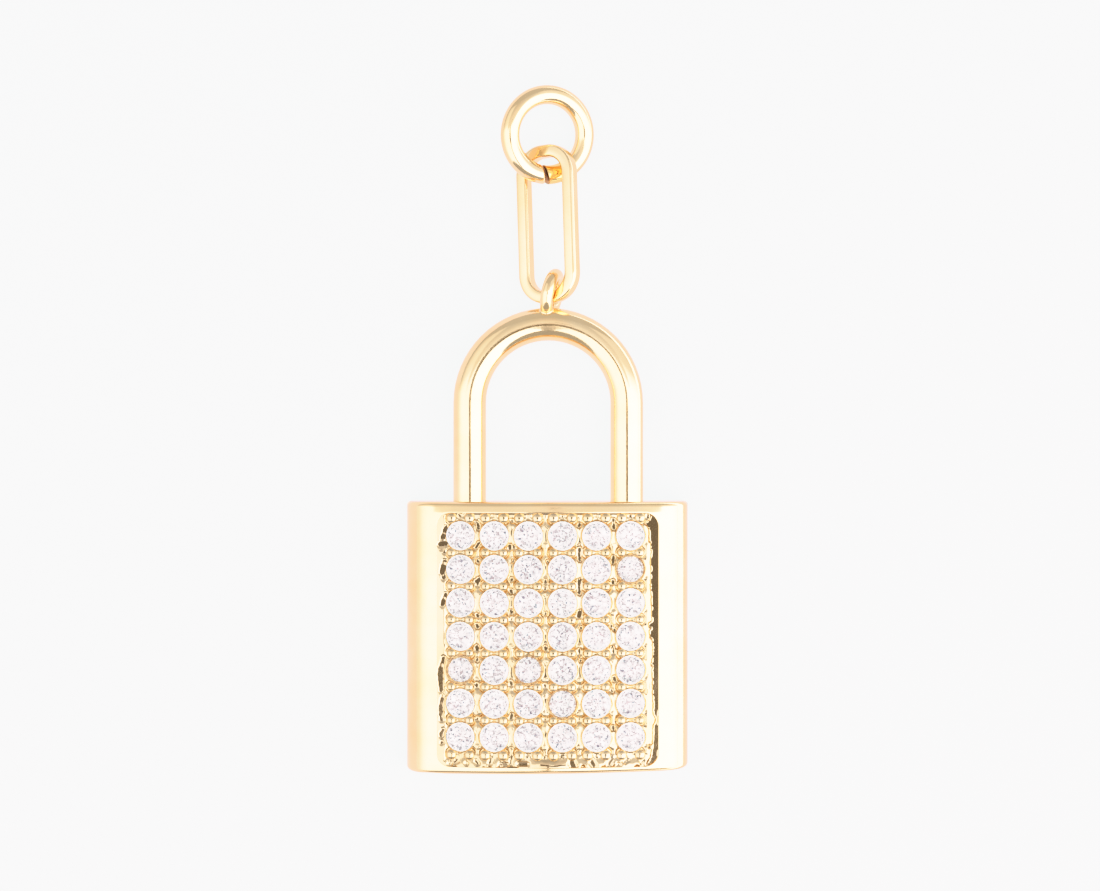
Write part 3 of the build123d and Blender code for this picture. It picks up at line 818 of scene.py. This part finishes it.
def tube(name, stations, closed, caps=(0.0, 0.0)):
    """A skin over rings of points; open ends are closed by shallow domes."""
    n, verts, faces = len(stations[0]), [p for ring in stations for p in ring], []
    m = len(stations)
    for k in range(m if closed else m - 1):
        a, b = k * n, ((k + 1) % m) * n
        for i in range(n):
            j = (i + 1) % n
            faces.append((a + i, b + i, b + j, a + j))
    if not closed:
        for k, k2, dome in ((0, 1, caps[0]), (m - 1, m - 2, caps[1])):
            c = sum((Vector(p) for p in stations[k]), Vector()) / n
            out = (c - sum((Vector(p) for p in stations[k2]), Vector()) / n).normalized()
            rim, prev = stations[k], [k * n + i for i in range(n)]
            for t in (0.75, 0.5, 0.25):
                first = len(verts)
                verts += [tuple(c + (Vector(p) - c) * t + out * dome * (1 - t * t)) for p in rim]
                here = [first + i for i in range(n)]
                for i in range(n):
                    j = (i + 1) % n
                    faces.append((prev[i], prev[j], here[j], here[i]) if k == 0 else (prev[i], here[i], here[j], prev[j]))
                prev = here
            verts.append(tuple(c + out * dome))
            for i in range(n):
                j = (i + 1) % n
                faces.append((prev[i], prev[j], len(verts) - 1) if k == 0 else (prev[j], prev[i], len(verts) - 1))
    ob = add_mesh(name, [[v * MM for v in p] for p in verts], faces)
    bm = bmesh.new()
    bm.from_mesh(ob.data)
    bmesh.ops.recalc_face_normals(bm, faces=bm.faces[:])
    bm.to_mesh(ob.data)
    bm.free()
    ob.data.set_sharp_from_angle(angle=radians(50))
    return ob


def build_link():
    length, width, corner, half_w, half_d = 10.66, 4.49, 2.0, 0.43, 0.46
    m = turned((0.038, 13.631, 1.745), -33.0, -3.0, 1.74)
    path = rounded_rect(0, 0, width - 2 * half_w, length - 2 * half_w, corner - half_w, 24, 26)
    ahead, behind = np.roll(path, -1, 0), np.roll(path, 1, 0)
    tangent = ahead - behind
    tangent /= np.linalg.norm(tangent, axis=1)[:, None]
    normal = np.column_stack([tangent[:, 1], -tangent[:, 0]])
    worn = Ripple(41)
    stations = []
    for k, ((px, py), (nx, ny)) in enumerate(zip(path, normal)):
        ring = []
        for i in range(44):
            a = 2 * pi * i / 44
            power = 2 / 4.4
            u = half_w * abs(cos(a)) ** power * (1 if cos(a) >= 0 else -1)
            w = half_d * abs(sin(a)) ** power * (1 if sin(a) >= 0 else -1)
            f = 1 - 0.007 * (1 + float(worn(px * 0.7 + 5 + cos(a), py * 0.7 + 5 + sin(a))))
            ring.append(tuple(m @ Vector((px + nx * u * f, py + ny * u * f, w * f))))
        stations.append(ring)
    return tube("link_wire", stations, True)


def build_ring():
    big, r = 2.66, 0.64
    m = turned((0.01, 19.62, 1.645), 20.5, 7.0, 0)
    gap_at, gap = radians(-97.0), 0.11 / big
    worn = Ripple(43)
    rows = [(gap_at + gap / 2 + (2 * pi - gap) * t) for t in np.linspace(0, 1, 181)]
    lead = [0.0, 0.02, 0.05, 0.09, 0.14]
    rows = [rows[0] + d / big for d in lead] + rows[2:-2] + [rows[-1] - d / big for d in reversed(lead)]
    first, last = rows[0], rows[-1]
    stations = []
    for a in rows:
        d0, d1 = (a - first) * big, (last - a) * big
        ring = []
        for i in range(56):
            q = 2 * pi * i / 56
            rr = r
            for d, e in ((d0, 0.07), (d1, 0.15)):
                if d < e:
                    rr = min(rr, r - e + sqrt(max(e * e - (e - d) ** 2, 0)))
            rr *= 1 - 0.006 * (1 + float(worn(a * 2 + 20 + cos(q), 7 + sin(q))))
            u, w = rr * cos(q), rr * sin(q)
            slant = 0.36 * u / big
            aa = a + slant * (exp(-d0 / 0.7) + exp(-d1 / 0.7)) + 0.05 * (1 + sin(q)) / big * exp(-d0 / 0.5)
            ring.append(tuple(m @ Vector(((big + u) * cos(aa), (big + u) * sin(aa), w))))
        stations.append(ring)
    ob = tube("jump_ring", stations, False, (0.0, 0.035))
    # finish per face: 0 plate, 1 the stub next to the cut, given a more saturated amber gold as a painted reflection of
    # the gold around it, 2 the cut itself, given a dark brown gold as painted shade in the gap
    n, m = 56, len(stations)
    idx = np.zeros(len(ob.data.polygons), dtype=np.int32)
    for k, (a, b) in enumerate(zip(rows, rows[1:])):
        if (b - first) * big < 1.65:
            idx[k * n:(k + 1) * n] = 1
    idx[:2 * n] = 2
    idx[(m - 3) * n:] = 2
    return ob, idx


link_wire = build_link()
jump_ring, ring_faces = build_ring()
casting = build_body()
metal, seat_shade_faces = build_pave_metal()
beads = build_beads()
stones, foil_faces = build_stones()

# ---------------------------------------------------------------- finishes
gold = gold_material("gold_plate", rough=(0.09, 0.15))
# painted shade: the same plating as gold_plate, given a darker colour so the paved front and beads read dimmer
pave_gold_painted_shade = gold_material("pave_gold_painted_shade", pale=(0.77, 0.595, 0.385), deep=(0.73, 0.545, 0.32), rough=(0.05, 0.10), wave=0.001, seed=4)


def stone_material():
    t = Tree("cut_stone")
    co = t.node("ShaderNodeTexCoord").outputs["Object"]
    bs = t.node("ShaderNodeBsdfPrincipled")
    bs.inputs["Transmission Weight"].default_value = 1.0
    bs.inputs["IOR"].default_value = 1.55
    t.link(t.mix_colour(t.remap(t.noise(co, 700, 2), 0.35, 0.65), (1, 1, 1), (0.97, 0.965, 0.985)), bs.inputs["Base Color"])
    t.link(t.remap(t.noise(co, 1500, 3), 0.3, 0.7, 0.0, 0.02), bs.inputs["Roughness"])
    t.link(t.bump(t.noise(co, 2500, 2), 0.0006 * MM), bs.inputs["Normal"])
    t.link(bs.outputs[0], t.out.inputs["Surface"])
    return t.mat


def foil_material(name="foil_back_painted_glow", specks=1.0):
    """Mirror-like facets seen through the stone, with a painted glow (the foil emits light) and small lilac-grey specks
    that are painted dark reflections.
    """
    t = Tree(name)
    co = t.node("ShaderNodeTexCoord").outputs["Object"]
    bs = t.node("ShaderNodeBsdfPrincipled")
    bs.inputs["Metallic"].default_value = 0.12
    tone = t.mix_colour(t.remap(t.noise(co, 2600, 2), 0.42, 0.62), (0.86, 0.98, 0.965), (0.81, 0.93, 0.935))
    # painted reflections: small dark lilac-grey specks, as of dark surroundings seen in the facets
    for scale, channel, lo, hi, near, colour in ((10000, 0, 0.06, 0.90, 0.95, (0.33, 0.245, 0.26)), (8500, 1, 0.90, 0.94, 0.68, (0.15, 0.12, 0.16))):
        cells = t.node("ShaderNodeTexVoronoi", feature="F1", distance="EUCLIDEAN")
        cells.inputs["Scale"].default_value = scale
        t.link(co, cells.inputs["Vector"])
        pick = t.node("ShaderNodeSeparateColor")
        t.link(cells.outputs["Color"], pick.inputs[0])
        both = t.node("ShaderNodeMath", operation="MULTIPLY")
        t.link(t.remap(pick.outputs[channel], lo, hi), both.inputs[0])
        t.link(t.remap(cells.outputs["Distance"], near, near * 0.6), both.inputs[1])
        mix = t.node("ShaderNodeMix", data_type="RGBA")
        t.link(t.remap(both.outputs[0], 0.0, 1.0, 0.0, specks), mix.inputs[0])
        t.link(tone, mix.inputs[6])
        mix.inputs[7].default_value = (*colour, 1)
        tone = mix.outputs[2]
    t.link(tone, bs.inputs["Base Color"])
    t.link(tone, bs.inputs["Emission Color"])
    # painted light: the foil glows, so the stones stay white wherever they are
    bs.inputs["Emission Strength"].default_value = 0.68
    t.link(t.remap(t.noise(co, 3000, 3), 0.3, 0.7, 0.06, 0.12), bs.inputs["Roughness"])
    t.link(bs.outputs[0], t.out.inputs["Surface"])
    t.mat.cycles.emission_sampling = "NONE"
    return t.mat


for n, ob in nodes.items():
    ob.data.materials.clear()
    ob.data.materials.append(gold)
for ob in (metal, beads):
    ob.data.materials.append(pave_gold_painted_shade)
# painted shade: a darker orange gold on the faces close round each stone
metal.data.materials.append(gold_material("seat_edge_painted_shade", pale=(0.80, 0.50, 0.25), deep=(0.74, 0.43, 0.18), rough=(0.06, 0.12), seed=11))
metal.data.polygons.foreach_set("material_index", seat_shade_faces)
casting.data.materials.clear()
casting.data.materials.append(gold)
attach(casting, "root")
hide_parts("lock_body")
for ob, node in ((link_wire, "oval_link"), (jump_ring, "top_ring")):
    ob.data.materials.append(gold)
    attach(ob, "root")
    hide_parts(node)
# painted reflection: a more saturated amber copy of the plating on the stub beside the cut
jump_ring.data.materials.append(gold_material("gold_plate_painted_reflection", pale=(0.98, 0.69, 0.30), deep=(0.95, 0.63, 0.24), seed=7))
# painted shade: a dark brown, rougher gold on the wire's two ends, standing in for the shade in the gap
jump_ring.data.materials.append(gold_material("wire_end_painted_shade", pale=(0.60, 0.38, 0.18), deep=(0.46, 0.27, 0.11), rough=(0.20, 0.34), seed=9))
jump_ring.data.polygons.foreach_set("material_index", ring_faces)
stones.data.materials.append(stone_material())
stones.data.materials.append(foil_material())
stones.data.materials.append(foil_material("foil_edge_painted_glow", 0.25))
stones.data.polygons.foreach_set("material_index", foil_faces)
for ob in (metal, beads, stones):
    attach(ob, "root")
    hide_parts("pave_plate")
